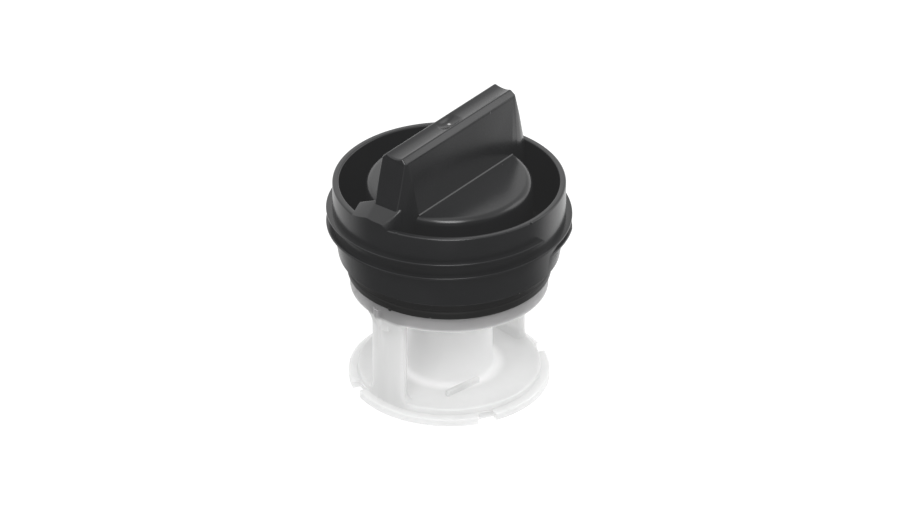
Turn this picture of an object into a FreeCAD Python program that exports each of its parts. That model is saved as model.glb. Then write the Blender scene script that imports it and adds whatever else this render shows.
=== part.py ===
import FreeCAD
import Part
import math
import os

# Drain pump filter of a washing machine. Millimetres, +Z up the screw axis, grip bar along X.
# The origin is at the bottom centre of the foot disc.

# Screw cap
thread_diameter = 63.0        # over the crests
thread_depth = 1.65           # crest above the rim wall
thread_pitch = 4.0
thread_turns = 2.0
thread_land = 0.5             # flat height of the crest
thread_flank = 1.9            # height of the sloping lower flank
thread_below_rim = 5.9        # from the rim down to the upper thread end
thread_end_angle = 268.0      # direction of the upper thread end
rim_wall = 1.75
rim_edge = 0.45               # chamfers of the rim
gap_width = 6.7               # annular gap between the rim and the boss
boss_wall = 2.0
boss_rise = 0.5               # boss top above the rim
boss_edge = 2.0               # rounding of the boss
skirt_height = 20.5           # from the seal seat up to the rim
spigot_height = 8.5           # tapered wall below the thread
spigot_inset = 1.45           # taper of that wall
floor_thickness = 2.0
grip_height = 16.8            # above the boss
grip_thickness = 10.8         # at the boss
grip_top_thickness = 7.9      # under the bevels of the top
grip_bevel = 1.4              # bevels along the top
grip_side_length = 38.8       # full thickness at the boss, between the slanted corners
grip_end_width = 6.8          # end faces at the boss
grip_end_gap = 1.0            # from the grip's foot to the inside of the rim
grip_end_slope = 4.2          # how far each end leans in on its way up
grip_wall = 2.0
grip_groove_width = 4.6       # trough along the top of the grip
grip_groove_depth = 0.9
dimple_diameter = 8.0
dimple_floor = 4.4            # diameter of its flat floor
dimple_depth = 1.7
web_rise = 3.9                # ramp from the grip's end out to the rim, its upper end above the rim
web_edge_rise = 1.3           # its lower end above the rim
web_middle = 3.5              # where its far bevel starts beside the grip's middle
web_far = 9.3                 # its far side
web_far_drop = 2.7            # height of the far bevel
web_near = 1.5                # where its near bevel starts at the rim
web_near_grip = 4.3           # and at the grip's corner
web_near_rim = 5.9            # where the near bevel runs down to the rim
web_overlap = 1.2             # how far its sides reach in past the grip's end

# Seal and the neck that carries it
seal_width = 4.9              # seal seat, from the spigot in to the neck
seal_height = 5.4
seal_bead = 3.0               # height of the round upper bead
seal_inset = 1.9              # bead inside the spigot
seal_groove = 0.6             # depth of the groove under the bead
seal_fit = 0.05
neck_wall = 2.2

# Snap fit of the cap on the insert
running_gap = 0.3
snap_bead = 1.0               # bead inside the neck
snap_bead_height = 1.9
finger_count = 4
finger_span = 50.0
finger_wall = 1.6
finger_hook = 0.7
finger_hook_height = 0.8
finger_lead_in = 1.4          # sloping top of the hook

# Filter insert
insert_turn = -5.0            # direction of the pillars beside the grip's
ring_reach = 2.0              # ring outside the neck
ring_depth = 4.0
ring_wall = 2.0
plate_thickness = 2.0
window_height = 24.1          # open height between the foot disc and the ring
core_diameter = 22.4
core_wall = 2.0
foot_reach = 0.5              # foot disc outside the ring
foot_thickness = 2.0
foot_wall = 1.8
plateau_height = 1.7
plateau_edge = 0.4
notch_count = 4
notch_width = 5.0
notch_depth = 2.3
notch_angle = -24.7           # first notch beside the pillar line
pillar_span = 28.0
pillar_thickness = 2.2
pillar_edge = 0.8
flare_height = 3.6
flare_reach = 1.4
flare_margin = 3.0            # angle that the flare stays inside the pillar
gusset_span = 4.0
gusset_height = 12.0
base_fillet = 1.5
guide_length = 11.0           # low rib on the foot disc beside the core
guide_width = 1.2
guide_height = 1.5
guide_gap = 0.5               # its middle outside the core
guide_start = 2.0             # its inner end from the core's nearest point
guide_angle = -5.7

weld = 0.4                    # depth to which joined forms run into each other
seam_lead = 45.0              # where the cap's turned section starts, before the end of the thread
curve_steps = 3               # facets of a round in a turned section

# Radii that follow
thread_radius = thread_diameter / 2
rim_radius = thread_radius - thread_depth
rim_inside = rim_radius - rim_wall
boss_radius = rim_inside - gap_width
boss_inside = boss_radius - boss_wall
spigot_radius = rim_radius - spigot_inset
neck_radius = spigot_radius - seal_width
neck_inside = neck_radius - neck_wall
bead_inside = neck_inside - snap_bead
finger_radius = bead_inside - running_gap
ring_radius = neck_radius + ring_reach
ring_inside = ring_radius - ring_wall
foot_radius = ring_radius + foot_reach
plateau_radius = foot_radius - notch_depth
core_radius = core_diameter / 2
core_inside = core_radius - core_wall

# Levels that follow
plateau_top = foot_thickness + plateau_height
ring_bottom = plateau_top + window_height
ring_top = ring_bottom + ring_depth
plate_bottom = ring_top - plate_thickness
neck_bottom = ring_top + running_gap
seal_seat = neck_bottom + seal_height
floor_top = seal_seat + floor_thickness
spigot_top = seal_seat + spigot_height
rim_top = seal_seat + skirt_height
boss_top = rim_top + boss_rise
grip_top = boss_top + grip_height

axis = FreeCAD.Vector(0, 0, 1)
centre = FreeCAD.Vector(0, 0, 0)


def point(radius, height):
    return FreeCAD.Vector(radius, 0, height)


def bulge(start, end, sag):
    """Points of a shallow curve from start to end, standing out to the right of the way by sag."""
    chord = end - start
    across = FreeCAD.Vector(chord.z, 0, -chord.x).normalize()
    shares = [step / curve_steps for step in range(curve_steps + 1)]
    return [start + chord * share + across * (4 * sag * share * (1 - share)) for share in shares]


def quarter(start, end, corner):
    """Points of a quarter round from start to end that takes the place of the given corner."""
    middle = start + end - corner
    angles = [math.pi / 2 * step / curve_steps for step in range(curve_steps + 1)]
    return [middle + (start - middle) * math.cos(angle) + (end - middle) * math.sin(angle) for angle in angles]


def outline(corners):
    return Part.makePolygon(corners + corners[:1])


def spun(wire, angle=360.0, start=0.0):
    """Solid of revolution about Z of a closed outline in the XZ plane."""
    solid = Part.Face(wire).revolve(centre, axis, angle)
    solid.rotate(centre, axis, start)
    return solid


def turned(shape, angle):
    copy = shape.copy()
    copy.rotate(centre, axis, angle)
    return copy


def ring_pattern(shape, count, start=0.0):
    return [turned(shape, start + 360.0 * step / count) for step in range(count)]


def cap_body():
    """Boss, annular gap, rim, spigot, seal seat and neck as one section."""
    bead_top = neck_bottom + snap_bead_height
    boss_round = quarter(point(boss_radius - boss_edge, boss_top), point(boss_radius, boss_top - boss_edge),
                         point(boss_radius, boss_top))
    return spun(outline([point(0, boss_top)] + boss_round + [
        point(boss_radius, floor_top),
        point(spigot_radius - rim_wall, floor_top),
        point(rim_inside, spigot_top),
        point(rim_inside, rim_top - rim_edge),
        point(rim_inside + rim_edge, rim_top),
        point(rim_radius - rim_edge, rim_top),
        point(rim_radius, rim_top - rim_edge),
        point(rim_radius, spigot_top),
        point(spigot_radius, seal_seat),
        point(neck_radius, seal_seat),
        point(neck_radius, neck_bottom),
        point(bead_inside, neck_bottom),
        point(bead_inside, bead_top),
        point(neck_inside, bead_top),
        point(neck_inside, seal_seat),
        point(boss_inside, seal_seat),
        point(boss_inside, boss_top - boss_wall),
        point(0, boss_top - boss_wall),
    ]), start=thread_end_angle - seam_lead)


def beyond(first, second, third):
    """Large block on the side of a plane from which its three points run anticlockwise."""
    size = 4 * thread_diameter
    block = Part.makeBox(size, size, size, FreeCAD.Vector(-size / 2, -size / 2, 0))
    normal = (second - first).cross(third - first)
    block.Placement = FreeCAD.Placement(first, FreeCAD.Rotation(axis, normal))
    return block


def wedge(length, width, low, top_length, top_width, high):
    """Block that tapers from a rectangle at one level to a smaller one above it."""
    along = outline([
        FreeCAD.Vector(-length / 2, -width, low),
        FreeCAD.Vector(length / 2, -width, low),
        FreeCAD.Vector(top_length / 2, -width, high),
        FreeCAD.Vector(-top_length / 2, -width, high),
    ])
    across = outline([
        FreeCAD.Vector(-length, -width / 2, low),
        FreeCAD.Vector(-length, width / 2, low),
        FreeCAD.Vector(-length, top_width / 2, high),
        FreeCAD.Vector(-length, -top_width / 2, high),
    ])
    bar = Part.Face(along).extrude(FreeCAD.Vector(0, 2 * width, 0))
    return bar.common(Part.Face(across).extrude(FreeCAD.Vector(2 * length, 0, 0)))


def grip_bar():
    """Bar with slanted ends and corners, a trough and a dimple, standing on the floor of the gap."""
    length = rim_inside - grip_end_gap
    bevel_foot = grip_top - grip_bevel
    half = grip_thickness / 2
    half_top = grip_top_thickness / 2
    section = outline([
        FreeCAD.Vector(-length, -half, floor_top - weld),
        FreeCAD.Vector(-length, half, floor_top - weld),
        FreeCAD.Vector(-length, half, boss_top),
        FreeCAD.Vector(-length, half_top, bevel_foot),
        FreeCAD.Vector(-length, half_top - grip_bevel, grip_top),
        FreeCAD.Vector(-length, grip_bevel - half_top, grip_top),
        FreeCAD.Vector(-length, -half_top, bevel_foot),
        FreeCAD.Vector(-length, -half, boss_top),
    ])
    bar = Part.Face(section).extrude(FreeCAD.Vector(2 * length, 0, 0))
    end_top = FreeCAD.Vector(length - grip_end_slope, half_top, bevel_foot)
    end_foot = FreeCAD.Vector(length, grip_end_width / 2, boss_top)
    side_foot = FreeCAD.Vector(grip_side_length / 2, half, boss_top)
    end = beyond(end_top, FreeCAD.Vector(length, 0, boss_top), FreeCAD.Vector(length, half, boss_top))
    corner = beyond(end_top, end_foot, side_foot)
    far_corner = corner.mirror(centre, FreeCAD.Vector(0, 1, 0))
    bar = bar.cut(ring_pattern(end, 2) + ring_pattern(corner, 2) + ring_pattern(far_corner, 2))
    groove_radius = (grip_groove_width ** 2 / 4 + grip_groove_depth ** 2) / (2 * grip_groove_depth)
    groove_centre = FreeCAD.Vector(-2 * length, 0, grip_top - grip_groove_depth + groove_radius)
    groove = Part.makeCylinder(groove_radius, 4 * length, groove_centre, FreeCAD.Vector(1, 0, 0))
    dimple = Part.makeCone(dimple_floor / 2, dimple_diameter / 2, dimple_depth,
                           point(0, grip_top - dimple_depth))
    return bar.cut([groove, dimple])


def grip_hollow():
    """Core of the bar, which the bar's own foot closes from below."""
    width = grip_thickness - 2 * grip_wall
    length = 2 * math.sqrt(boss_inside ** 2 - width ** 2 / 4) - 2 * weld
    lean = grip_end_slope * (1 - grip_wall / grip_height)
    top_width = max(grip_top_thickness - 2 * grip_wall, weld)
    return wedge(length, width, boss_top - boss_wall - weld,
                 length - 2 * lean, top_width, grip_top - dimple_depth - grip_wall)


def grip_web():
    """Ramp with bevelled sides from an end of the grip out to the rim."""
    low = floor_top - weld
    high = rim_top + web_rise
    edge = rim_top + web_edge_rise
    grip_end = rim_inside - grip_end_gap - grip_end_slope * (high - boss_top) / (grip_height - grip_bevel)
    slope = FreeCAD.Vector(grip_end - rim_radius, 0, edge - high)
    top = FreeCAD.Vector(-grip_end, web_middle, high)
    far_foot = FreeCAD.Vector(-grip_end, web_far, high - web_far_drop)
    near_grip = FreeCAD.Vector(-grip_end, -web_near_grip, high)
    near_edge = FreeCAD.Vector(-rim_radius, -web_near, edge)
    near_foot = FreeCAD.Vector(-rim_radius, -web_near_rim, rim_top)
    web = Part.makeBox(thread_radius - grip_end + web_overlap, web_far + web_near_rim, high + web_rise - low,
                       FreeCAD.Vector(-thread_radius, -web_near_rim, low))
    web = web.cut([
        beyond(top, near_grip + slope, near_grip),
        beyond(top, far_foot, top + slope),
        beyond(near_grip, near_edge, near_foot),
        beyond(near_grip, near_foot, near_grip - axis),
    ])
    inside_rim = Part.makeCone(spigot_radius, rim_radius, spigot_height, point(0, seal_seat))
    inside_rim = inside_rim.fuse(Part.makeCylinder(rim_radius, grip_top - spigot_top, point(0, spigot_top)))
    return web.common(inside_rim)


def thread_rib():
    """Right-hand helical rib, blunt at its upper end and running out on a flat at its lower end."""
    rise = thread_pitch * thread_turns
    ledge = rim_top - thread_below_rim - rise
    lowest = ledge - thread_land - thread_flank
    root = rim_radius - spigot_inset * max(spigot_top - lowest, 0) / spigot_height - weld
    section = outline([
        point(root, ledge),
        point(thread_radius, ledge),
        point(thread_radius, ledge - thread_land),
        point(root, lowest),
    ])
    path = Part.makeHelix(thread_pitch, rise, rim_radius)
    path.translate(FreeCAD.Vector(0, 0, ledge))
    rib = Part.Wire(path.Edges).makePipeShell([section], True, True)
    rib.rotate(centre, axis, thread_end_angle - 360.0 * thread_turns)
    reach = math.sqrt(thread_radius ** 2 - rim_radius ** 2)
    flat = Part.makeBox(thread_depth + weld, reach + thread_depth, thread_pitch,
                        FreeCAD.Vector(rim_radius, -thread_depth, ledge - thread_pitch / 2 - thread_land))
    return rib.cut(turned(flat, thread_end_angle - 360.0 * thread_turns))


def screw_cap():
    cap = cap_body().fuse([grip_bar(), grip_web()])
    cap = cap.cut(grip_hollow())
    return cap.fuse(thread_rib()).removeSplitter()


def seal_ring():
    """Rubber ring with a round bead, a groove and a lower lip, held between its seat and the insert."""
    inside = neck_radius + seal_fit
    outside = spigot_radius - seal_inset
    groove = point(outside - seal_groove, seal_seat - seal_bead)
    bead = bulge(groove, point(outside - seal_groove, seal_seat), seal_groove)
    return spun(outline([
        point(inside, neck_bottom),
        point(outside - seal_groove / 2, neck_bottom),
    ] + bead + [
        point(inside, seal_seat),
    ]))


def foot_disc():
    """Notched disc with a raised plateau, cored out from below."""
    recess = plateau_radius - foot_wall
    ceiling = plateau_top - foot_wall
    disc = spun(outline([
        point(recess, 0),
        point(foot_radius, 0),
        point(foot_radius, foot_thickness),
        point(plateau_radius, foot_thickness),
        point(plateau_radius, plateau_top - plateau_edge),
        point(plateau_radius - plateau_edge, plateau_top),
        point(core_inside, plateau_top),
        point(core_inside, ceiling),
        point(recess, ceiling),
    ]))
    notch = Part.makeBox(2 * notch_depth, notch_width, foot_thickness + weld,
                         FreeCAD.Vector(foot_radius - notch_depth, -notch_width / 2, -weld))
    return disc.cut(ring_pattern(notch, notch_count, notch_angle))


def core_tube():
    return spun(outline([
        point(core_inside, plateau_top - weld),
        point(core_radius, plateau_top - weld),
        point(core_radius, plate_bottom + weld),
        point(core_inside, plate_bottom + weld),
    ]))


def top_ring():
    """Closed plate with a turned-down rim."""
    return spun(outline([
        point(0, ring_top),
        point(ring_radius, ring_top),
        point(ring_radius, ring_bottom),
        point(ring_inside, ring_bottom),
        point(ring_inside, plate_bottom),
        point(0, plate_bottom),
    ]))


def snap_fingers():
    hook_bottom = neck_bottom + snap_bead_height + running_gap
    hook_top = hook_bottom + finger_hook_height
    hook_radius = finger_radius + running_gap + finger_hook
    finger = spun(outline([
        point(finger_radius - finger_wall, ring_top - weld),
        point(finger_radius, ring_top - weld),
        point(finger_radius, hook_bottom),
        point(hook_radius, hook_bottom),
        point(hook_radius, hook_top),
        point(finger_radius - finger_wall / 2, hook_top + finger_lead_in),
        point(finger_radius - finger_wall, hook_top + finger_lead_in),
    ]), finger_span, -finger_span / 2)
    return ring_pattern(finger, finger_count, 45.0)


def pillar():
    """Curved wall segment with a flared head, a gusset and a filleted foot."""
    inside = plateau_radius - pillar_thickness
    low = plateau_top - plateau_edge - weld
    wall = spun(outline([
        point(inside, low),
        point(plateau_radius, low),
        point(plateau_radius, plate_bottom + weld),
        point(inside, plate_bottom + weld),
    ]), pillar_span, -pillar_span / 2)
    upright = [edge for edge in wall.Edges if abs(edge.tangentAt(edge.FirstParameter).z) > 0.99]
    wall = wall.makeFillet(pillar_edge, upright)
    flare_span = pillar_span - 2 * flare_margin
    flare = spun(outline([
        point(plateau_radius - weld, ring_bottom - flare_height),
        point(plateau_radius, ring_bottom - flare_height),
        point(plateau_radius + flare_reach, ring_bottom + weld),
        point(plateau_radius - weld, ring_bottom + weld),
    ]), flare_span, -flare_span / 2)
    gusset = spun(outline([
        point(plateau_radius - weld, ring_bottom - gusset_height),
        point(plateau_radius, ring_bottom - gusset_height),
        point(plateau_radius + flare_reach, ring_bottom + weld),
        point(plateau_radius - weld, ring_bottom + weld),
    ]), gusset_span, -gusset_span / 2)
    foot = spun(outline([
        point(inside - base_fillet, plateau_top - weld),
        point(inside - base_fillet, plateau_top),
        point(inside, plateau_top + base_fillet),
        point(inside + weld, plateau_top + base_fillet),
        point(inside + weld, plateau_top - weld),
    ]), flare_span, -flare_span / 2)
    return wall.fuse([flare, gusset, foot])


def guide_rib():
    """Low straight rib that leads off the core along the foot disc."""
    rib = Part.makeBox(guide_length, guide_width, guide_height + weld,
                       FreeCAD.Vector(-guide_start - guide_length,
                                      -core_radius - guide_gap - guide_width / 2, plateau_top - weld))
    return turned(rib, guide_angle)


def filter_insert():
    forms = [core_tube(), top_ring()] + snap_fingers()
    forms += ring_pattern(pillar(), 2)
    forms += ring_pattern(guide_rib(), 2)
    insert = foot_disc().fuse(forms).removeSplitter()
    return turned(insert, insert_turn)


os.makedirs("parts", exist_ok=True)
for name, make in (("screw_cap", screw_cap), ("seal_ring", seal_ring), ("filter_insert", filter_insert)):
    shape = make()
    box = shape.BoundBox
    print(name, "solids", len(shape.Solids), "valid", shape.isValid(), "volume", round(shape.Volume, 1),
          "z", round(box.ZMin, 2), round(box.ZMax, 2), "x", round(box.XMin, 2), round(box.XMax, 2))
    shape.exportStep("parts/" + name + ".step")
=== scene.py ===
import bpy
import math
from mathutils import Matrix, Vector


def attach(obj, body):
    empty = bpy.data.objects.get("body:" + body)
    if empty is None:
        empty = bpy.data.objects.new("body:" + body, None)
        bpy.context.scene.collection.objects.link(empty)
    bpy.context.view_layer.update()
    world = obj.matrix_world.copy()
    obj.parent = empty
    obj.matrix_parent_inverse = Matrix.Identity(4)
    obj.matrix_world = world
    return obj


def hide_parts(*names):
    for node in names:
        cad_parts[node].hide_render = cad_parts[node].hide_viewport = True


# Drain pump filter: black screw cap with its seal, turning on a white cage insert.
# Settings of the pieces are in millimetres and degrees, the stage and all meshes in metres.
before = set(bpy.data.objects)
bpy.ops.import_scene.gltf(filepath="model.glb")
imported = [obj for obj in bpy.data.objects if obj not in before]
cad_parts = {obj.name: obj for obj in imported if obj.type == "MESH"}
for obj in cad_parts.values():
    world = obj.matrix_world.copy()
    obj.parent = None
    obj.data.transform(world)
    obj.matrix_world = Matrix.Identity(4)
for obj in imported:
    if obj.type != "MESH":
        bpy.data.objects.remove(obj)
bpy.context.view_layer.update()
mm = 0.001
fullTurn = 360.0
weldReach = 0.001 * mm  # points nearer than this become one
cleanReach = 0.0005 * mm  # the same on a finished piece
print("frame loaded:", sorted(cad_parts))


# Small modelling tools

def at(across, along, up):
    # a place in millimetres, as a vector in metres
    return Vector((across * mm, along * mm, up * mm))


def polar(radius, angle, up):
    turn = math.radians(angle)
    return at(radius * math.cos(turn), radius * math.sin(turn), up)


def clearSelection():
    if bpy.context.object and bpy.context.object.mode != "OBJECT":
        bpy.ops.object.mode_set(mode="OBJECT")
    bpy.ops.object.select_all(action="DESELECT")


def pick(piece):
    clearSelection()
    piece.select_set(True)
    bpy.context.view_layer.objects.active = piece


def editAll(piece):
    pick(piece)
    bpy.ops.object.mode_set(mode="EDIT")
    bpy.ops.mesh.select_all(action="SELECT")


def faceOutwards(piece):
    # turns all faces outwards and leaves edit mode
    bpy.ops.mesh.select_all(action="SELECT")
    bpy.ops.mesh.normals_make_consistent(inside=False)
    bpy.ops.object.mode_set(mode="OBJECT")
    return piece


def softCorners(corners, steps=4):
    # corners are (across, up) or (across, up, radius); a radius turns the corner into an arc
    points = []
    for index, corner in enumerate(corners):
        here = Vector(corner[:2])
        radius = corner[2] if len(corner) > 2 else 0
        if not radius:
            points.append(here)
            continue
        back = (Vector(corners[index - 1][:2]) - here).normalized()
        ahead = (Vector(corners[(index + 1) % len(corners)][:2]) - here).normalized()
        half = back.angle(ahead) / 2
        centre = here + (back + ahead).normalized() * (radius / math.sin(half))
        start = here + back * (radius / math.tan(half)) - centre
        end = here + ahead * (radius / math.tan(half)) - centre
        sweep = start.angle(end)
        for step in range(steps + 1):
            share = step / steps
            arm = start * math.sin((1 - share) * sweep) + end * math.sin(share * sweep)
            points.append(centre + arm / math.sin(sweep))
    return points


def drawOutline(name, points):
    # one vertex, extruded from point to point and closed
    clearSelection()
    bpy.ops.mesh.primitive_plane_add(size=mm)
    piece = bpy.context.object
    piece.name = name
    bpy.ops.object.mode_set(mode="EDIT")
    bpy.ops.mesh.merge(type="CENTER")
    bpy.ops.transform.translate(value=points[0])
    for here, there in zip(points, points[1:]):
        bpy.ops.mesh.extrude_region_move(TRANSFORM_OT_translate={"value": there - here})
    bpy.ops.mesh.select_all(action="SELECT")
    bpy.ops.mesh.edge_face_add()
    bpy.ops.object.mode_set(mode="OBJECT")
    return piece


def closeMesh(piece):
    editAll(piece)
    bpy.ops.mesh.remove_doubles(threshold=weldReach)
    bpy.ops.mesh.fill_holes(sides=0)
    return faceOutwards(piece)


def turnPiece(piece, angle):
    pick(piece)
    piece.rotation_euler = (0, 0, math.radians(angle))
    bpy.ops.object.transform_apply(location=True, rotation=True, scale=True)
    return piece


def turnSection(name, corners, steps, angle=fullTurn, start=0.0, cornerSteps=4):
    # section in the XZ plane, spun about Z
    points = [at(across, 0, up) for across, up in softCorners(corners, cornerSteps)]
    piece = drawOutline(name, points)
    editAll(piece)
    bpy.ops.mesh.delete(type="ONLY_FACE")
    bpy.ops.mesh.select_all(action="SELECT")
    bpy.ops.mesh.spin(steps=steps, angle=math.radians(angle), center=(0, 0, 0), axis=(0, 0, 1))
    closeMesh(piece)
    return turnPiece(piece, start)


def pullSection(name, points, along, cuts=0):
    # a closed outline, pulled out straight
    piece = drawOutline(name, points)
    editAll(piece)
    part = along / (cuts + 1)
    for cut in range(cuts + 1):
        bpy.ops.mesh.extrude_region_move(TRANSFORM_OT_translate={"value": part})
    return faceOutwards(piece)


def addBlock(edges, place, angle=0.0):
    bpy.ops.mesh.primitive_cube_add(size=1, location=place, scale=edges)
    return turnPiece(bpy.context.object, angle)


def addNub(radius, place, segments, rings):
    bpy.ops.mesh.primitive_uv_sphere_add(segments=segments, ring_count=rings, radius=radius * mm,
                                         location=place)
    return turnPiece(bpy.context.object, 0)


def moveVerts(piece, rule):
    for vert in piece.data.vertices:
        vert.co = rule(vert.co.copy())
    piece.data.update()
    return piece


def roundEdges(piece, width, steps=3, angle=35, clamp=True):
    pick(piece)
    bevel = piece.modifiers.new("edges", "BEVEL")
    bevel.width = width * mm
    bevel.segments = steps
    bevel.limit_method = "ANGLE"
    bevel.angle_limit = math.radians(angle)
    bevel.use_clamp_overlap = clamp
    bpy.ops.object.modifier_apply(modifier=bevel.name)
    return piece


def cutAway(piece, first, second, third):
    # takes off what lies on the side from which the three points run anticlockwise, and closes the cut
    spots = [Vector(spot) * mm for spot in (first, second, third)]
    facing = (spots[1] - spots[0]).cross(spots[2] - spots[0]).normalized()
    editAll(piece)
    bpy.ops.mesh.bisect(plane_co=spots[0], plane_no=facing, use_fill=True, clear_outer=True,
                        threshold=weldReach)
    return faceOutwards(piece)


def combine(piece, tools, operation):
    for tool in tools:
        pick(piece)
        boolean = piece.modifiers.new("combine", "BOOLEAN")
        boolean.operation = operation
        boolean.solver = "EXACT"
        boolean.object = tool
        bpy.ops.object.modifier_apply(modifier=boolean.name)
        bpy.data.objects.remove(tool, do_unlink=True)
    return piece


def copyPiece(piece, angle):
    pick(piece)
    bpy.ops.object.duplicate(linked=False)
    return turnPiece(bpy.context.object, angle)


def copyRound(piece, count, first):
    # copies in a ring about Z, in place of the piece itself
    copies = [copyPiece(piece, first + fullTurn * step / count) for step in range(count)]
    bpy.data.objects.remove(piece, do_unlink=True)
    return copies


def finishPiece(piece, material, body, node, angle=32):
    editAll(piece)
    bpy.ops.mesh.remove_doubles(threshold=cleanReach)
    bpy.ops.mesh.dissolve_degenerate(threshold=cleanReach)
    pick(piece)
    bpy.ops.object.shade_smooth_by_angle(angle=math.radians(angle))
    piece.data.materials.clear()
    piece.data.materials.append(material)
    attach(piece, body)
    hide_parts(node)
    print("piece done:", piece.name, len(piece.data.polygons), "faces")


# Shader maths

class Wire:
    def __init__(self, tree, socket):
        self.tree = tree
        self.socket = socket

    def node(self, kind, settings=None, inputs=None, output=0):
        made = self.tree.nodes.new(kind)
        for name, value in (settings or {}).items():
            setattr(made, name, value)
        for name, value in (inputs or {}).items():
            if isinstance(value, Wire):
                self.tree.links.new(value.socket, made.inputs[name])
            else:
                made.inputs[name].default_value = value
        return Wire(self.tree, made.outputs[output])

    def maths(self, operation, left, right):
        return self.node("ShaderNodeMath", {"operation": operation}, {0: left, 1: right})

    def __add__(self, other):
        return self.maths("ADD", self, other)

    def __rsub__(self, other):
        return self.maths("SUBTRACT", other, self)

    def __mul__(self, other):
        return self.maths("MULTIPLY", self, other)

    def __lt__(self, other):
        return self.maths("LESS_THAN", self, other)

    __radd__ = __add__
    __rmul__ = __mul__

    def mixed(self, other, part):
        # part of the other, the rest of this one
        return self * (1 - part) + other * part

    def ramp(self, low, high):
        # 0 at low, 1 at high, eased between
        limits = {"Value": self, "From Min": low, "From Max": high}
        return self.node("ShaderNodeMapRange", {"interpolation_type": "SMOOTHSTEP"}, limits)

    def rampMm(self, low, high):
        return self.ramp(low * mm, high * mm)

    def blend(self, low, high):
        # of a Mix node's sockets, inputs 6 and 7 and output 2 are its colours
        return self.node("ShaderNodeMix", {"data_type": "RGBA"}, {"Factor": self, 6: low, 7: high}, 2)

    def vectors(self, operation, other, output):
        return self.node("ShaderNodeVectorMath", {"operation": operation}, {0: self, 1: other}, output)

    def height(self):
        return self.node("ShaderNodeSeparateXYZ", inputs={0: self}, output="Z")

    def noise(self, size, detail=2, stretch=(1, 1, 1)):
        # self is a coordinate; size is the feature size in millimetres
        scale = tuple(1 / (size * mm * share) for share in stretch)
        place = self.node("ShaderNodeMapping", inputs={"Vector": self, "Scale": scale})
        return self.node("ShaderNodeTexNoise", inputs={"Vector": place, "Scale": 1.0, "Detail": detail})

    def specks(self, spacing, size):
        # small scattered dots, 1 inside a dot
        cells = self.node("ShaderNodeTexVoronoi", inputs={"Vector": self, "Scale": 1 / (spacing * mm)})
        return cells < size / spacing


def newMaterial(name, settings):
    material = bpy.data.materials.new(name)
    material.use_nodes = True
    tree = material.node_tree
    shader = tree.nodes["Principled BSDF"]
    for socket, value in settings.items():
        shader.inputs[socket].default_value = value
    place = Wire(tree, tree.nodes.new("ShaderNodeTexCoord").outputs["Object"])
    return material, shader, place


def plug(shader, socket, wire):
    wire.tree.links.new(wire.socket, shader.inputs[socket])


def addGrain(shader, place, look):
    relief = {"Height": place.noise(look["grain"]), "Strength": look["grainStrength"],
              "Distance": look["grainDepth"] * mm}
    plug(shader, "Normal", place.node("ShaderNodeBump", inputs=relief))


capFinish = {
    "shader": {"IOR": 1.49, "Specular IOR Level": 0.45},
    "dark": (0.005, 0.0053, 0.0060, 1), "pale": (0.010, 0.0104, 0.0112, 1),
    "dust": (0.10, 0.10, 0.10, 1), "paintedGateHighlight": (0.42, 0.42, 0.42, 1),
    "clouds": {"size": 9.0, "detail": 3},
    "rubs": {"size": 2.2, "detail": 4, "stretch": (6, 1, 1)}, "rubColour": 0.4, "rubRough": 0.5,
    "motes": {"spacing": 7.0, "size": 0.22}, "moteStrength": 0.5,
    "grain": 0.18, "grainStrength": 0.25, "grainDepth": 0.02,
    "roughLow": 0.17, "roughSpan": 0.14,
    "gate": (0, 0, 74.55), "gateReach": (0.6, 0.3),
}


def makeCapPlastic(look):
    material, shader, place = newMaterial("blackPolypropylene", look["shader"])
    clouds = place.noise(**look["clouds"])
    rubbed = place.noise(**look["rubs"])
    motes = place.specks(**look["motes"])
    colour = clouds.mixed(rubbed, look["rubColour"]).blend(look["dark"], look["pale"])
    colour = (motes * look["moteStrength"]).blend(colour, look["dust"])
    # painted highlight: the nub left by the moulding gate is painted pale, so it shows as a bright dot
    away = place.vectors("DISTANCE", at(*look["gate"]), "Value")
    colour = away.rampMm(*look["gateReach"]).blend(colour, look["paintedGateHighlight"])
    plug(shader, "Base Color", colour)
    rough = clouds.mixed(rubbed, look["rubRough"])
    plug(shader, "Roughness", rough * look["roughSpan"] + look["roughLow"])
    addGrain(shader, place, look)
    return material


sealFinish = {
    "shader": {"IOR": 1.5, "Specular IOR Level": 0.25},
    "dark": (0.003, 0.003, 0.003, 1), "pale": (0.007, 0.007, 0.0068, 1), "dust": (0.16, 0.16, 0.15, 1),
    "clouds": {"size": 5.0, "detail": 4},
    "motes": {"spacing": 5.0, "size": 0.25}, "moteStrength": 0.7,
    "grain": 0.12, "grainStrength": 0.2, "grainDepth": 0.015,
    "roughLow": 0.36, "roughSpan": 0.14,
}


def makeSealRubber(look):
    material, shader, place = newMaterial("blackRubber", look["shader"])
    clouds = place.noise(**look["clouds"])
    motes = place.specks(**look["motes"])
    colour = clouds.blend(look["dark"], look["pale"])
    plug(shader, "Base Color", (motes * look["moteStrength"]).blend(colour, look["dust"]))
    plug(shader, "Roughness", clouds * look["roughSpan"] + look["roughLow"])
    addGrain(shader, place, look)
    return material


insertFinish = {
    "shader": {"IOR": 1.49, "Subsurface Weight": 1.0, "Subsurface Scale": 0.013,
               "Subsurface Radius": (1.0, 1.0, 1.0)},
    "dark": (0.49, 0.492, 0.490, 1), "pale": (0.57, 0.572, 0.570, 1), "mark": (0.35, 0.34, 0.33, 1),
    "core": (0.97, 0.97, 0.965, 1), "coreReach": (15.0, 11.0),
    "ring": (0.21, 0.208, 0.21, 1), "ringRise": (26.8, 28.6),
    "clouds": {"size": 12.0, "detail": 3},
    "flow": {"size": 3.0, "detail": 3, "stretch": (1, 1, 5)}, "flowColour": 0.5,
    "motes": {"spacing": 16.0, "size": 0.3}, "moteStrength": 0.8,
    "grain": 0.3, "grainStrength": 0.15, "grainDepth": 0.012,
    "roughLow": 0.30, "roughSpan": 0.16,
}


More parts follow.
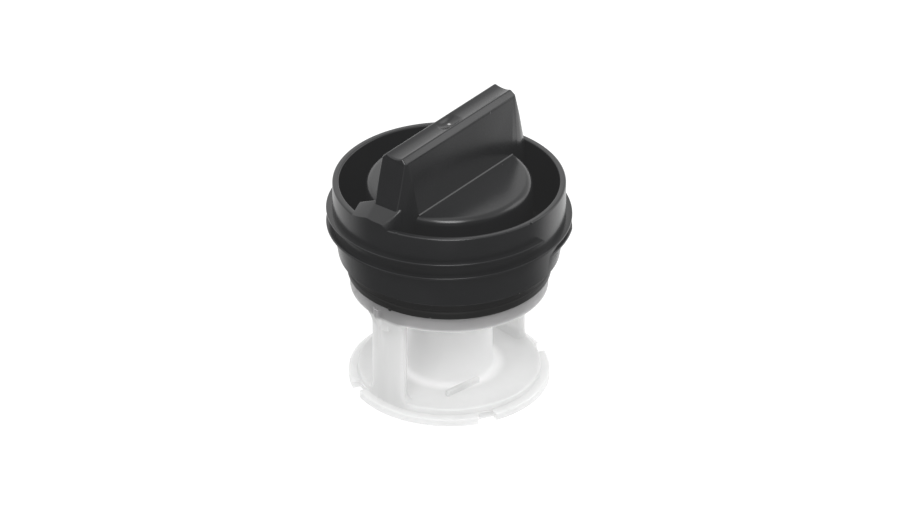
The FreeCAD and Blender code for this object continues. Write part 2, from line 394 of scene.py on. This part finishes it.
def makeInsertPlastic(look):
    material, shader, place = newMaterial("whitePolypropylene", look["shader"])
    clouds = place.noise(**look["clouds"])
    flow = place.noise(**look["flow"])
    motes = place.specks(**look["motes"])
    colour = clouds.mixed(flow, look["flowColour"]).blend(look["dark"], look["pale"])
    # painted light: the hollow core is painted brighter towards the axis, standing in for light gathering
    # in it
    flat = place.vectors("MULTIPLY", (1, 1, 0), "Vector")
    reach = flat.vectors("DISTANCE", (0, 0, 0), "Value")
    colour = reach.rampMm(*look["coreReach"]).blend(colour, look["core"])
    # painted shade: the thin ring is painted dark grey from its foot upwards, standing in for the black
    # neck and seal behind it showing through
    colour = place.height().rampMm(*look["ringRise"]).blend(colour, look["ring"])
    plug(shader, "Base Color", (motes * look["moteStrength"]).blend(colour, look["mark"]))
    plug(shader, "Roughness", flow * look["roughSpan"] + look["roughLow"])
    addGrain(shader, place, look)
    return material


# Screw cap

capSet = {
    "steps": 192, "cornerSteps": 5,
    "threadRadius": 31.5, "rimRadius": 29.85, "rimInside": 28.1, "rimTop": 58.0, "rimEdge": 0.5,
    "bossRadius": 21.4, "bossInside": 19.4, "bossTop": 58.5, "bossEdge": 2.0, "bossRoof": 56.5,
    "skin": 0.1,  # left on the boss's inside where the grip bar is cleared away
    "gapFloor": 39.5, "gapOutside": 26.65, "gapEdge": 0.8,
    "spigotTop": 46.0, "spigotRadius": 28.4, "sealSeat": 37.5, "seatEdge": 0.35,
    "neckRadius": 23.5, "neckInside": 21.3, "neckBottom": 32.1, "beadInside": 20.3, "beadTop": 34.0,
    "burrs": [(191.1, 0.45), (247.5, 0.3), (262.4, 0.4)],  # angle and radius
    "burrInset": 0.2, "burrSink": 0.15, "burrSegments": 16, "burrRings": 10,
}


def makeCapBody(size):
    neck = size["neckBottom"]
    seat = size["sealSeat"]
    edge = size["rimEdge"]
    return turnSection("screwCap", [
        (0, size["bossTop"]),
        (size["bossRadius"], size["bossTop"], size["bossEdge"]),
        (size["bossRadius"], size["gapFloor"], size["gapEdge"]),
        (size["gapOutside"], size["gapFloor"], size["gapEdge"]),
        (size["rimInside"], size["spigotTop"]),
        (size["rimInside"], size["rimTop"], edge),
        (size["rimRadius"], size["rimTop"], edge),
        (size["rimRadius"], size["spigotTop"]),
        (size["spigotRadius"], seat, size["seatEdge"]),
        (size["neckRadius"], seat),
        (size["neckRadius"], neck),
        (size["beadInside"], neck),
        (size["beadInside"], size["beadTop"]),
        (size["neckInside"], size["beadTop"]),
        (size["neckInside"], seat),
        (size["bossInside"], seat),
        (size["bossInside"], size["bossRoof"]),
        (0, size["bossRoof"]),
    ], size["steps"], cornerSteps=size["cornerSteps"])


def makeBossHollow(size):
    # clears the grip bar out of the boss, so that the grip's hollow opens downwards
    radius = size["bossInside"] - size["skin"]
    roof = size["bossRoof"] - size["skin"]
    low = size["sealSeat"] + size["skin"]
    corners = [(0, low), (radius, low), (radius, roof), (0, roof)]
    return turnSection("bossHollow", corners, size["steps"])


def makeBurrs(size):
    # moulding flash on the rim
    reach = size["rimRadius"] - size["burrInset"]
    level = size["rimTop"] - size["burrSink"]
    burrs = []
    for angle, radius in size["burrs"]:
        burrs.append(addNub(radius, polar(reach, angle, level), size["burrSegments"], size["burrRings"]))
    return burrs


gripSet = {
    "foot": 39.3, "boss": 58.5, "top": 75.3, "reach": 27.1, "endSlope": 4.2,
    "sideReach": 19.4, "endHalf": 3.4, "cornerPath": [(22.3, 5.05), (24.9, 4.4)], "cornerLead": 0.8,
    "footHalf": 5.4, "shoulderHalf": 3.95, "bevel": 1.4, "seamRise": 0.25,
    "edge": 0.5, "edgeSteps": 4, "edgeAngle": 40, "shoulderRound": 1.5, "lipRound": 0.55,
    "troughHalf": 2.3, "troughDepth": 0.45, "troughSteps": 24,
    "dimpleRadius": 3.9, "dimpleDepth": 0.6, "dimpleSoft": 0.04, "dimpleFade": 1.5, "dimpleLeast": 0.01,
    "dimpleCuts": 48, "dimpleCutReach": 1.2,
    "gateRadius": 0.75, "gateRise": 0.32,
    "hollowReach": 18.5, "hollowFootHalf": 3.4, "hollowTopHalf": 1.9, "hollowFoot": 56.0, "hollowTop": 71.5,
}


def makeSeam(size, across):
    # small fillet where the grip stands on the boss
    rise = size["seamRise"]
    middle = at(-size["sideReach"], across * size["footHalf"], size["boss"])
    ring = [(0, -rise), (rise, 0), (0, rise), (-rise, 0)]
    points = [middle + at(0, flat, up) for flat, up in ring]
    return pullSection("seam", points, at(2 * size["sideReach"], 0, 0))


def sinkDimple(grip, size, level):
    # extra cuts over the dimple, then its top pressed down into a shallow dish with the gate's nub in it
    reach = size["dimpleCutReach"] * size["dimpleRadius"] * mm
    editAll(grip)
    for step in range(size["dimpleCuts"] + 1):
        across = reach * (2 * step / size["dimpleCuts"] - 1)
        bpy.ops.mesh.select_all(action="SELECT")
        bpy.ops.mesh.bisect(plane_co=(across, 0, 0), plane_no=(1, 0, 0))
    bpy.ops.object.mode_set(mode="OBJECT")

    def press(spot):
        away = Vector((spot.x, spot.y)).length / mm
        dish = size["dimpleDepth"] * (1 - (away / size["dimpleRadius"]) ** 2)
        inside = (size["troughHalf"] - abs(spot.y) / mm) / size["dimpleFade"]
        inside = min(1.0, max(0.0, inside))
        eased = inside * inside * (3 - 2 * inside)
        sunk = eased * (dish + math.hypot(dish, size["dimpleSoft"])) / 2
        nub = size["gateRise"] * (1 + math.cos(math.pi * min(1.0, away / size["gateRadius"]))) / 2
        if spot.z > level * mm and sunk > size["dimpleLeast"]:
            spot.z += (nub - sunk) * mm
        return spot

    moveVerts(grip, press)


def makeGrip(size):
    half = size["footHalf"]
    shoulder = size["shoulderHalf"]
    lip = shoulder - size["bevel"]
    level = size["top"] - size["bevel"]
    boss = size["boss"]
    reach = size["reach"]
    trough = size["troughHalf"]
    depth = size["troughDepth"]
    bow = (trough ** 2 + depth ** 2) / (2 * depth)
    sweep = math.asin(trough / bow)
    dip = []
    for step in range(size["troughSteps"] + 1):
        turn = sweep * (1 - 2 * step / size["troughSteps"])
        dip.append((bow * math.sin(turn), size["top"] - depth + bow - bow * math.cos(turn)))
    side = [(half, size["foot"]), (half, boss), (shoulder, level, size["shoulderRound"]),
            (lip, size["top"], size["lipRound"])]
    mirrored = [(-corner[0],) + corner[1:] for corner in reversed(side)]
    points = [at(-reach, across, up) for across, up in softCorners(side + dip + mirrored)]
    grip = pullSection("grip", points, at(2 * reach, 0, 0))
    # slanted ends, then each corner as a fan of planes, cut from the end inwards
    foot = [(size["sideReach"], half)] + size["cornerPath"] + [(reach, size["endHalf"])]
    for ahead in (1, -1):
        top = (ahead * (reach - size["endSlope"]), 0, level)
        cutAway(grip, top, (ahead * reach, -ahead * half, boss), (ahead * reach, ahead * half, boss))
        for across in (1, -1):
            for place in reversed(range(len(foot) - 1)):
                near, nearHalf = foot[place]
                far, farHalf = foot[place + 1]
                apex = top[0] - ahead * size["cornerLead"] * (len(foot) - 2 - place)
                corner = [(apex, across * shoulder, level), (ahead * far, across * farHalf, boss),
                          (ahead * near, across * nearHalf, boss)]
                cutAway(grip, *(corner if ahead == across else reversed(corner)))
    roundEdges(grip, size["edge"], size["edgeSteps"], size["edgeAngle"], clamp=False)
    sinkDimple(grip, size, level)
    return combine(grip, [makeSeam(size, across) for across in (1, -1)], "UNION")


def makeGripHollow(size):
    foot = size["hollowFoot"]
    top = size["hollowTop"]
    corners = [(-size["hollowFootHalf"], foot), (size["hollowFootHalf"], foot),
               (size["hollowTopHalf"], top), (-size["hollowTopHalf"], top)]
    reach = size["hollowReach"]
    points = [at(-reach, across, up) for across, up in corners]
    hollow = pullSection("gripHollow", points, at(2 * reach, 0, 0))
    lean = reach - size["endSlope"]
    for ahead in (1, -1):
        cutAway(hollow, (ahead * lean, 0, top), (ahead * reach, -ahead, foot), (ahead * reach, ahead, foot))
    return hollow


webSet = {
    "low": 39.3, "high": 61.9, "spare": 4.0, "edge": 59.3, "grip": 26.2, "middle": 3.5,
    "far": 9.3, "farDrop": 2.7, "near": 1.5, "nearGrip": 4.3, "nearRim": 3.2, "box": 5.9, "overlap": 1.2,
    "round": 0.6, "roundSteps": 4, "roundAngle": 8, "trimLow": 26.0, "trimHigh": 80.0,
}


def makeWeb(size, cap):
    # ramp from an end of the grip out to the rim: a block, cut to its slopes and to the cap's outside
    grip = size["grip"]
    rim = cap["rimRadius"]
    inner = grip - size["overlap"]
    outer = cap["threadRadius"]
    corners = [(-outer, -size["box"]), (-inner, -size["box"]), (-inner, size["far"]), (-outer, size["far"])]
    points = [at(across, along, size["low"]) for across, along in corners]
    web = pullSection("web", points, at(0, 0, size["high"] + size["spare"] - size["low"]))
    top = (-grip, size["middle"], size["high"])
    topEdge = (-rim, size["middle"], size["edge"])
    nearTop = (-grip, -size["nearGrip"], size["high"])
    nearEdge = (-rim, -size["near"], size["edge"])
    nearFoot = (-rim, -size["nearRim"], cap["rimTop"])
    cutAway(web, top, nearEdge, nearTop)
    cutAway(web, top, (-grip, size["far"], size["high"] - size["farDrop"]), topEdge)
    cutAway(web, nearTop, nearEdge, nearFoot)
    cutAway(web, nearTop, nearFoot, (-grip, -size["nearGrip"], size["low"]))
    trim = turnSection("webTrim", [
        (0, size["trimLow"]), (cap["spigotRadius"], cap["sealSeat"]), (rim, cap["spigotTop"]),
        (rim, size["trimHigh"]), (0, size["trimHigh"]),
    ], cap["steps"])
    roundEdges(web, size["round"], size["roundSteps"], size["roundAngle"])
    return combine(web, [trim], "INTERSECT")


threadSet = {
    "pitch": 4.0, "turns": 2, "upperEnd": 268.0, "ledge": 52.1, "root": 28.7, "land": 0.5, "flank": 1.9,
    "runOut": 20, "blunt": 1, "edge": 0.22, "edgeSteps": 3,
}


def makeThread(size, cap):
    ledge = size["ledge"] - size["pitch"] * size["turns"]
    corners = [(size["root"], ledge), (cap["threadRadius"], ledge, size["edge"]),
               (cap["threadRadius"], ledge - size["land"], size["edge"]),
               (size["root"], ledge - size["land"] - size["flank"])]
    section = [at(across, 0, up) for across, up in softCorners(corners, size["edgeSteps"])]
    thread = drawOutline("thread", section)
    editAll(thread)
    bpy.ops.mesh.delete(type="ONLY_FACE")
    bpy.ops.object.mode_set(mode="OBJECT")
    screw = thread.modifiers.new("helix", "SCREW")
    screw.axis = "Z"
    screw.angle = math.radians(fullTurn)
    screw.screw_offset = size["pitch"] * mm
    screw.iterations = size["turns"]
    screw.steps = cap["steps"]
    screw.render_steps = cap["steps"]
    bpy.ops.object.modifier_apply(modifier=screw.name)
    last = len(thread.data.vertices) // len(section) - 1
    print("thread stations:", last, "from", len(section), "points")
    # the lower end runs out to the root, the upper end stays blunt
    for vert in thread.data.vertices:
        station = vert.index // len(section)
        share = min(1.0, station / size["runOut"], (last - station + 1) / size["blunt"])
        flat = Vector((vert.co.x, vert.co.y, 0))
        keep = size["root"] * mm + (flat.length - size["root"] * mm) * share
        vert.co = Vector((0, 0, vert.co.z)) + flat.normalized() * keep
    closeMesh(thread)
    return turnPiece(thread, size["upperEnd"])


def makeScrewCap(material):
    cap = makeCapBody(capSet)
    combine(cap, [makeGrip(gripSet), makeWeb(webSet, capSet)], "UNION")
    combine(cap, [makeGripHollow(gripSet), makeBossHollow(capSet)], "DIFFERENCE")
    combine(cap, [makeThread(threadSet, capSet)], "UNION")
    combine(cap, makeBurrs(capSet), "UNION")
    finishPiece(cap, material, "cap", "screw_cap")


# Seal

sealSet = {
    "steps": 192,
    "section": [  # radius, level and rounding, from the foot of the bore outwards and up
        (23.55, 32.1), (26.2, 32.1, 0.35), (26.3, 33.8, 0.6), (25.9, 34.3, 0.25),
        (26.5, 35.0, 0.6), (26.5, 36.7, 0.9), (25.5, 37.5, 0.3), (23.55, 37.5),
    ],
    "nib": (26.2, 183.0, 32.5),  # radius, angle and level of its middle
    "nibRadius": 0.55, "nibSegments": 20, "nibRings": 12,
}


def makeSealRing(size, material):
    seal = turnSection("sealRing", size["section"], size["steps"])
    nib = addNub(size["nibRadius"], polar(*size["nib"]), size["nibSegments"], size["nibRings"])
    combine(seal, [nib], "UNION")
    finishPiece(seal, material, "cap", "seal_ring")


# Filter insert

insertSet = {
    "steps": 192, "turn": -5.0,
    "footRadius": 26.0, "footTop": 2.0, "footEdge": 0.25, "footTopEdge": 0.35,
    "plateauRadius": 23.7, "plateauTop": 3.7, "plateauFoot": 0.3, "plateauEdge": 0.5,
    "recess": 21.9, "ceiling": 1.9, "recessEdge": 0.4,
    "coreRadius": 11.2, "coreInside": 9.2, "coreFillet": 1.2, "coreInsideFillet": 0.8, "plateBottom": 29.8,
    "ringRadius": 25.5, "ringInside": 23.5, "ringBottom": 27.8, "ringTop": 31.8,
    "ringFillet": 0.4, "ringInsideEdge": 0.3, "ringEdge": 0.4, "ringTopEdge": 0.5,
    "notchAngle": -24.7, "notchWidth": 5.0, "notchDepth": 2.3, "notchReach": 8.0, "notchRound": 0.4,
    "notches": 4,
}


def makeInsertBody(size):
    return turnSection("filterInsert", [
        (0, size["ringTop"]),
        (0, size["plateBottom"]),
        (size["coreInside"], size["plateBottom"], size["coreInsideFillet"]),
        (size["coreInside"], size["ceiling"], size["recessEdge"]),
        (size["recess"], size["ceiling"], size["recessEdge"]),
        (size["recess"], 0),
        (size["footRadius"], 0, size["footEdge"]),
        (size["footRadius"], size["footTop"], size["footTopEdge"]),
        (size["plateauRadius"], size["footTop"], size["plateauFoot"]),
        (size["plateauRadius"], size["plateauTop"], size["plateauEdge"]),
        (size["coreRadius"], size["plateauTop"], size["coreFillet"]),
        (size["coreRadius"], size["plateBottom"], size["coreFillet"]),
        (size["ringInside"], size["plateBottom"], size["ringFillet"]),
        (size["ringInside"], size["ringBottom"], size["ringInsideEdge"]),
        (size["ringRadius"], size["ringBottom"], size["ringEdge"]),
        (size["ringRadius"], size["ringTop"], size["ringTopEdge"]),
    ], size["steps"])


def makeNotches(size):
    inner = size["footRadius"] - size["notchDepth"]
    edges = at(size["notchReach"], size["notchWidth"], 2 * size["footTop"])
    notch = addBlock(edges, at(inner + size["notchReach"] / 2, 0, 0))
    roundEdges(notch, size["notchRound"])
    return copyRound(notch, size["notches"], size["notchAngle"])


pillarSet = {
    "outer": 23.8, "thickness": 2.2, "halfSpan": 14.0, "low": 2.9, "high": 30.2, "round": 0.8,
    "arcSteps": 14, "sections": 40,
    "flareHeight": 4.2, "flareReach": 1.5, "flareBend": 1.5,
    "footHeight": 2.2, "footReach": 1.5, "footSpread": 2.5, "footBend": 2,
    "ribAngle": -3.0, "ribSpan": 3.2, "ribReach": 0.9, "ribFrom": 13.0, "ribSteep": 2,
    "blockSize": (3.0, 2.4, 4.2), "blockAngle": 13.2, "blockLevel": 25.9, "blockRadius": 23.2,
    "blockRound": 0.6, "blockSteps": 4,
}


def makePillar(size, body):
    outer = size["outer"]
    inner = outer - size["thickness"]
    middle = (outer + inner) / 2
    half = size["halfSpan"]
    tuck = math.degrees(size["round"] / outer)
    span = 2 * half - 2 * tuck
    turns = [-half + tuck + span * step / size["arcSteps"] for step in range(size["arcSteps"] + 1)]
    corner = size["round"] * (1 - math.sqrt(0.5))
    bend = math.degrees(corner / outer)
    plan = [(outer, turn) for turn in turns]
    plan += [(outer - corner, half - bend), (middle, half), (inner + corner, half - bend)]
    plan += [(inner, -turn) for turn in turns]
    plan += [(inner + corner, -half + bend), (middle, -half), (outer - corner, -half + bend)]
    points = [polar(radius, angle, size["low"]) for radius, angle in plan]
    pillar = pullSection("pillar", points, at(0, 0, size["high"] - size["low"]), size["sections"])

    def flare(spot):
        # outwards at the head and along the rib, inwards and wider at the foot
        up = spot.z / mm
        away = Vector((spot.x, spot.y, 0)).length / mm
        angle = math.degrees(math.atan2(spot.y, spot.x))
        head = max(0.0, (up - body["ringBottom"] + size["flareHeight"]) / size["flareHeight"])
        foot = max(0.0, 1 - (up - body["plateauTop"]) / size["footHeight"])
        foot = min(1.0, foot) ** size["footBend"]
        rib = max(0.0, 1 - abs(angle - size["ribAngle"]) / size["ribSpan"])
        rise = max(0.0, (up - size["ribFrom"]) / (body["ringBottom"] - size["ribFrom"]))
        share = (away - inner) / size["thickness"]
        away += share * size["flareReach"] * min(1.0, head) ** size["flareBend"]
        away += share * size["ribReach"] * min(1.0, rib * size["ribSteep"]) * min(1.0, rise)
        away -= (1 - share) * size["footReach"] * foot
        angle += math.copysign(size["footSpread"], angle) * foot * abs(angle) / half
        return polar(away, angle, up)

    moveVerts(pillar, flare)
    place = at(size["blockRadius"], 0, size["blockLevel"])
    block = addBlock(at(*size["blockSize"]), place, size["blockAngle"])
    roundEdges(block, size["blockRound"], size["blockSteps"])
    return combine(pillar, [block], "UNION")


fingerSet = {
    "count": 4, "span": 50.0, "first": 45.0, "steps": 24, "low": 31.4, "inside": 18.4, "outside": 20.0,
    "hook": 21.0, "hookBottom": 34.3, "hookTop": 35.1, "top": 36.5, "lead": 0.8, "edge": 0.3,
}


def makeFingers(size):
    edge = size["edge"]
    finger = turnSection("finger", [
        (size["inside"], size["low"]),
        (size["outside"], size["low"]),
        (size["outside"], size["hookBottom"]),
        (size["hook"], size["hookBottom"]),
        (size["hook"], size["hookTop"], edge),
        (size["outside"] - size["lead"], size["top"], edge),
        (size["inside"], size["top"], edge),
    ], size["steps"], size["span"], -size["span"] / 2)
    return copyRound(finger, size["count"], size["first"])


guideSet = {
    "length": 11.0, "width": 1.2, "height": 1.5, "offset": 11.7, "start": 2.0, "angle": -5.7, "sunk": 0.4,
    "edge": 0.35,
}


def makeGuide(size, body):
    tall = size["height"] + size["sunk"]
    middle = size["start"] + size["length"] / 2
    place = at(-middle, -size["offset"], body["plateauTop"] - size["sunk"] + tall / 2)
    guide = addBlock(at(size["length"], size["width"], tall), place, size["angle"])
    return roundEdges(guide, size["edge"])


def makeFilterInsert(material):
    insert = makeInsertBody(insertSet)
    combine(insert, makeNotches(insertSet), "DIFFERENCE")
    pillar = makePillar(pillarSet, insertSet)
    guide = makeGuide(guideSet, insertSet)
    pairs = [copyPiece(pillar, fullTurn / 2), pillar, copyPiece(guide, fullTurn / 2), guide]
    combine(insert, pairs + makeFingers(fingerSet), "UNION")
    turnPiece(insert, insertSet["turn"])
    finishPiece(insert, material, "insert", "filter_insert")


makeScrewCap(makeCapPlastic(capFinish))
makeSealRing(sealSet, makeSealRubber(sealFinish))
makeFilterInsert(makeInsertPlastic(insertFinish))


# Stage, light and camera
# a Turn, Rise or Reach pair is where that part of the sky starts and where it is full

stageSet = {
    "floorSize": 40.0, "floorDrop": 0.0002,
    "floorFinish": {"Base Color": (0.25, 0.25, 0.25, 1), "Roughness": 0.9, "Specular IOR Level": 0.1,
                    "Emission Color": (1, 1, 1, 1), "Emission Strength": 0.85},
    "room": 0.9, "dark": 0.07, "dome": 1.25, "domeRise": (0.3, 0.5),
    "zenithRise": (0.6, 0.9), "zenithDim": 0.1,
    "frontTurn": (-0.3, -0.6), "frontRise": (0.6, 0.8),
    "backdrop": 1.15, "backdropTurn": (-0.1, 0.5), "backdropRise": (-0.75, -0.45),
    "rightGain": 0.3, "rightGlow": 0.05, "rightTurn": (0.2, 0.9),
    "cardTurn": (0.03, 0.22), "cardRise": (0.26, 0.4), "cardDim": 0.4,
    "window": (-0.787, -0.615, -0.05), "windowReach": (0.93, 0.97), "windowGlow": 0.5,
    "lights": [
        {"name": "frontSoftbox", "place": (-0.5, -0.4, 1.05), "size": 0.5, "power": 7.0},
        {"name": "rightSoftbox", "place": (0.85, -0.63, 0.68), "size": 0.6, "power": 2.0},
    ],
    "cameraAzimuth": 308.0, "cameraElevation": 31.1, "cameraDistance": 2.0,
    "lens": 312.0, "sensor": 36.0, "clip": (0.05, 50.0), "blackLevel": 0.016,
    "aim": (0.0, 0.0, 0.0362), "axisPixel": 449.2, "imageWidth": 900, "pixelsPerMetre": 3900.0,
}


def makeFloor(settings):
    clearSelection()
    bpy.ops.mesh.primitive_plane_add(size=settings["floorSize"], location=(0, 0, -settings["floorDrop"]))
    floor = bpy.context.object
    floor.name = "floor"
    floor.data.materials.append(newMaterial("paleFloor", settings["floorFinish"])[0])
    floor.visible_glossy = False


def makeSky(settings):
    # even light all round, but reflections show a bright tent above and behind and a dark room in front
    world = bpy.data.worlds.new("studio")
    bpy.context.scene.world = world
    world.use_nodes = True
    tree = world.node_tree
    turn = math.radians(settings["cameraAzimuth"])
    way = Wire(tree, tree.nodes.new("ShaderNodeTexCoord").outputs["Generated"])
    behind = way.vectors("DOT_PRODUCT", (-math.sin(turn), math.cos(turn), 0), "Value")
    rightward = way.vectors("DOT_PRODUCT", (math.cos(turn), math.sin(turn), 0), "Value")
    rise = way.height()
    front = behind.ramp(*settings["frontTurn"]) * (1 - rise.ramp(*settings["frontRise"]))
    zenith = rise.ramp(*settings["zenithRise"]) * settings["zenithDim"]
    above = rise.ramp(*settings["domeRise"]) * (1 - zenith) * (1 - front) * settings["dome"]
    sweep = behind.ramp(*settings["backdropTurn"]) * rise.ramp(*settings["backdropRise"])
    sweep = sweep * (rightward * settings["rightGain"] + settings["backdrop"])
    card = rightward.ramp(*settings["cardTurn"]) * rise.ramp(*settings["cardRise"]) * settings["cardDim"]
    glow = way.maths("MAXIMUM", above, sweep) * (1 - card)
    glow = glow + rightward.ramp(*settings["rightTurn"]) * settings["rightGlow"]
    window = way.vectors("DOT_PRODUCT", settings["window"], "Value")
    glow = glow + window.ramp(*settings["windowReach"]) * settings["windowGlow"] + settings["dark"]
    mirrored = Wire(tree, tree.nodes.new("ShaderNodeLightPath").outputs["Is Glossy Ray"])
    background = tree.nodes["Background"]
    background.inputs["Color"].default_value = (1, 1, 1, 1)
    plug(background, "Strength", mirrored * glow + (1 - mirrored) * settings["room"])


def makeLights(settings):
    for entry in settings["lights"]:
        light = bpy.data.lights.new(entry["name"], "AREA")
        light.shape = "SQUARE"
        light.size = entry["size"]
        light.energy = entry["power"]
        lamp = bpy.data.objects.new(entry["name"], light)
        lamp.location = entry["place"]
        toward = Vector(settings["aim"]) - Vector(entry["place"])
        lamp.rotation_euler = toward.to_track_quat("-Z", "Y").to_euler()
        bpy.context.scene.collection.objects.link(lamp)


def makeCamera(settings):
    azimuth = math.radians(settings["cameraAzimuth"])
    elevation = math.radians(settings["cameraElevation"])
    back = Vector((math.sin(azimuth) * math.cos(elevation), -math.cos(azimuth) * math.cos(elevation),
                   math.sin(elevation)))
    camera = bpy.data.cameras.new("photoCamera")
    camera.lens = settings["lens"]
    camera.sensor_width = settings["sensor"]
    camera.clip_start, camera.clip_end = settings["clip"]
    holder = bpy.data.objects.new("photoCamera", camera)
    turn = (-back).to_track_quat("-Z", "Y")
    # the screw axis stands a little beside the middle of the picture
    offset = (settings["imageWidth"] / 2 - settings["axisPixel"]) / settings["pixelsPerMetre"]
    place = Vector(settings["aim"]) + back * settings["cameraDistance"]
    holder.location = place + turn @ Vector((offset, 0, 0))
    holder.rotation_euler = turn.to_euler()
    bpy.context.scene.collection.objects.link(holder)
    bpy.context.scene.camera = holder


def setTones(settings):
    # lens veil: the darkest tone of the photograph is a dark grey
    view = bpy.context.scene.view_settings
    view.view_transform = "Standard"
    view.use_curve_mapping = True
    combined = view.curve_mapping.curves[3]
    combined.points[0].location = (0, settings["blackLevel"])
    view.curve_mapping.update()


makeFloor(stageSet)
makeSky(stageSet)
makeLights(stageSet)
makeCamera(stageSet)
setTones(stageSet)
print("stage, lights and camera set")
